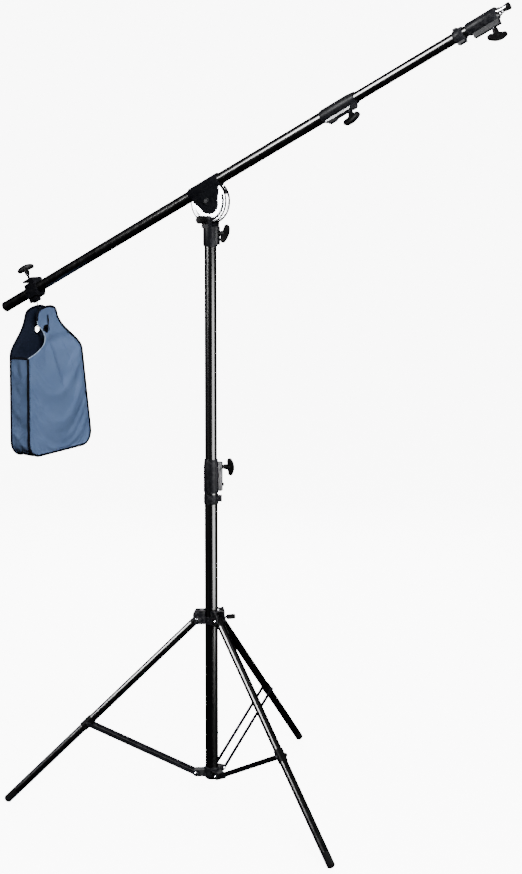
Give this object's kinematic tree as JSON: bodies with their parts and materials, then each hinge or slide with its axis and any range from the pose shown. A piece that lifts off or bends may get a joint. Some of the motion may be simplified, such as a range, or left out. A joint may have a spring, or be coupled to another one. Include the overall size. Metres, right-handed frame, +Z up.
{
  "type": "overhead boom arm stand",
  "caption": "Overhead boom arm: a black tripod light stand with a tilting telescopic boom, a tail clamp and a hanging blue sandbag as counterweight.",
  "frame": {"origin": "centre of the bounding box on the floor, under the feet plane", "axes": "+Z up along the mast, +X along the boom's plan direction towards the spigot, +Y across, away from the tilt lock knob"},
  "size_m": [1.6076, 0.9182, 2.057],
  "materials": {
    "black_tube": "gloss black coat",
    "black_casting": "satin black coat",
    "black_strip": "satin black coat",
    "bright_plate": "bright zinc, fine brushed",
    "bright_pin": "bright plated",
    "black_plastic": "fine moulded grain",
    "black_rubber": "matt",
    "blue_fabric": "woven, coated"
  },
  "bodies": {
    "base": {"lower_column_tube": "black_tube", "column_foot_plug": "black_plastic", "lower_collar": "black_casting", "brace_1_foot_rivet": "bright_pin", "brace_2_foot_rivet": "bright_pin", "brace_3_foot_rivet": "bright_pin", "mast_clamp_ring": "black_casting", "mast_clamp_body": "black_casting", "mast_clamp_channel": "bright_plate", "mast_clamp_screw": "black_plastic"},
    "leg_collar": {"upper_collar": "black_casting", "leg_1_hinge_rivet": "bright_pin", "leg_2_hinge_rivet": "bright_pin", "leg_3_hinge_rivet": "bright_pin"},
    "collar_screw": {"collar_thumbscrew": "black_plastic"},
    "leg_1": {"leg_1_tube": "black_tube", "leg_1_top": "black_plastic", "leg_1_brace_sleeve": "black_plastic", "leg_1_foot": "black_rubber"},
    "leg_2": {"leg_2_tube": "black_tube", "leg_2_top": "black_plastic", "leg_2_brace_sleeve": "black_plastic", "leg_2_foot": "black_rubber"},
    "leg_3": {"leg_3_tube": "black_tube", "leg_3_top": "black_plastic", "leg_3_brace_sleeve": "black_plastic", "leg_3_foot": "black_rubber"},
    "brace_1": {"brace_1_left": "black_strip", "brace_1_right": "black_strip"},
    "brace_2": {"brace_2_left": "black_strip", "brace_2_right": "black_strip"},
    "brace_3": {"brace_3_left": "black_strip", "brace_3_right": "black_strip"},
    "mast": {"upper_column_tube": "black_tube", "mast_foot_bush": "black_plastic"},
    "mast_lock": {"mast_clamp_knob": "black_plastic"},
    "head": {"head_socket": "black_casting"},
    "head_lock": {"head_knob": "black_plastic"},
    "tilt_lock": {"tilt_lock_knob": "black_plastic"},
    "cradle": {"boom_sleeve": "black_casting", "quadrant_near": "bright_plate", "quadrant_far": "bright_plate", "tilt_pivot_bolt": "black_casting"},
    "boom": {"boom_outer_tube": "black_tube", "boom_tail_cap": "black_plastic", "boom_clamp_body": "black_casting", "boom_clamp_channel": "bright_plate", "boom_clamp_bar": "black_casting"},
    "boom_lock": {"boom_clamp_knob": "black_plastic"},
    "boom_end": {"boom_inner_tube": "black_tube", "tip_ring": "black_casting", "tip_head": "black_casting"},
    "tip_lock": {"tip_knob": "black_plastic"},
    "tip_spigot": {"spigot": "bright_pin", "spigot_band": "black_plastic"},
    "weight_clamp": {"tail_clamp_body": "black_casting", "hook_pin": "bright_pin"},
    "weight_lock": {"tail_knob": "black_plastic"},
    "hook": {"bag_hook": "bright_pin"},
    "bag": {"sandbag": "blue_fabric"}
  },
  "joints": [
    {"name": "leg_collar_slide", "type": "slide", "parent": "base", "child": "leg_collar", "axis": [0, 0, 1], "range_m": [0, 0.2885]},
    {"name": "leg_1_hinge", "type": "hinge", "parent": "leg_collar", "child": "leg_1", "pos_m": [-0.05266, -0.06192, 0.506], "axis": [-0.9888, -0.1495, 0], "range_deg": [0, 34.1]},
    {"name": "brace_1_hinge", "type": "hinge", "parent": "base", "child": "brace_1", "pos_m": [-0.05326, -0.05796, 0.0765], "axis": [0.9888, 0.1495, 0], "range_deg": [0, 49.2]},
    {"name": "leg_2_hinge", "type": "hinge", "parent": "leg_collar", "child": "leg_2", "pos_m": [-0.07756, -0.12546, 0.506], "axis": [0.6239, -0.7815, 0], "range_deg": [0, 34.1]},
    {"name": "brace_2_hinge", "type": "hinge", "parent": "base", "child": "brace_2", "pos_m": [-0.08068, -0.12795, 0.0765], "axis": [-0.6239, 0.7815, 0], "range_deg": [0, 49.2]},
    {"name": "leg_3_hinge", "type": "hinge", "parent": "leg_collar", "child": "leg_3", "pos_m": [-0.01008, -0.11525, 0.506], "axis": [0.3649, 0.9311, 0], "range_deg": [0, 34.1]},
    {"name": "brace_3_hinge", "type": "hinge", "parent": "base", "child": "brace_3", "pos_m": [-0.00636, -0.11671, 0.0765], "axis": [-0.3649, -0.9311, 0], "range_deg": [0, 49.2]},
    {"name": "collar_screw_turn", "type": "hinge", "parent": "leg_collar", "child": "collar_screw", "pos_m": [-0.04677, -0.10088, 0.507], "axis": [0.5592, 0.829, 0], "range_deg": [0, 540]},
    {"name": "mast_slide", "type": "slide", "parent": "base", "child": "mast", "axis": [0, 0, 1], "range_m": [-0.55, 0.1]},
    {"name": "mast_lock_turn", "type": "hinge", "parent": "base", "child": "mast_lock", "pos_m": [-0.04677, -0.10088, 0.92257], "axis": [0.8988, 0.4384, 0], "range_deg": [0, 540]},
    {"name": "head_pan", "type": "hinge", "parent": "mast", "child": "head", "pos_m": [-0.04677, -0.10088, 1.535], "axis": [0, 0, 1], "continuous": true},
    {"name": "head_lock_turn", "type": "hinge", "parent": "head", "child": "head_lock", "pos_m": [-0.04677, -0.10088, 1.538], "axis": [0.9945, 0.1045, 0], "range_deg": [0, 540]},
    {"name": "tilt_lock_turn", "type": "hinge", "parent": "head", "child": "tilt_lock", "pos_m": [-0.04677, -0.10088, 1.5732], "axis": [0, -1, 0], "range_deg": [0, 540]},
    {"name": "boom_tilt", "type": "hinge", "parent": "head", "child": "cradle", "pos_m": [-0.04677, -0.10088, 1.6212], "axis": [0, -1, 0], "range_deg": [-84, 30]},
    {"name": "boom_slide", "type": "slide", "parent": "cradle", "child": "boom", "axis": [0.9106, 0, 0.4133], "range_m": [-0.3, 0.15]},
    {"name": "boom_lock_turn", "type": "hinge", "parent": "boom", "child": "boom_lock", "pos_m": [0.37615, -0.10088, 1.85651], "axis": [0.3883, -0.342, -0.8557], "range_deg": [0, 540]},
    {"name": "boom_end_slide", "type": "slide", "parent": "boom", "child": "boom_end", "axis": [0.9106, 0, 0.4133], "range_m": [-0.29, 0.35]},
    {"name": "tip_lock_turn", "type": "hinge", "parent": "boom_end", "child": "tip_lock", "pos_m": [0.75191, -0.10088, 2.02704], "axis": [0.4133, 0, -0.9106], "range_deg": [0, 540]},
    {"name": "spigot_turn", "type": "hinge", "parent": "boom_end", "child": "tip_spigot", "pos_m": [0.75646, -0.10088, 2.02911], "axis": [0.9106, 0, 0.4133], "continuous": true},
    {"name": "weight_slide", "type": "slide", "parent": "boom", "child": "weight_clamp", "axis": [0.9106, 0, 0.4133], "range_m": [-0.07, 0.3]},
    {"name": "weight_lock_turn", "type": "hinge", "parent": "weight_clamp", "child": "weight_lock", "pos_m": [-0.68595, -0.10088, 1.3745], "axis": [-0.4133, 0, 0.9106], "range_deg": [0, 540]},
    {"name": "hook_swing", "type": "hinge", "parent": "weight_clamp", "child": "hook", "pos_m": [-0.67094, -0.10088, 1.35111], "axis": [0, 1, 0], "range_deg": [-70, 35]},
    {"name": "bag_swing", "type": "hinge", "parent": "hook", "child": "bag", "pos_m": [-0.66094, -0.09088, 1.27211], "axis": [1, 0, 0], "range_deg": [-15, 15]}
  ],
  "couplings": [
    {"joint": "leg_1_hinge", "follows": "leg_collar_slide", "rad_per_m": 2.0375},
    {"joint": "brace_1_hinge", "follows": "leg_collar_slide", "rad_per_m": 2.951},
    {"joint": "leg_2_hinge", "follows": "leg_collar_slide", "rad_per_m": 2.0375},
    {"joint": "brace_2_hinge", "follows": "leg_collar_slide", "rad_per_m": 2.951},
    {"joint": "leg_3_hinge", "follows": "leg_collar_slide", "rad_per_m": 2.0375},
    {"joint": "brace_3_hinge", "follows": "leg_collar_slide", "rad_per_m": 2.951}
  ]
}
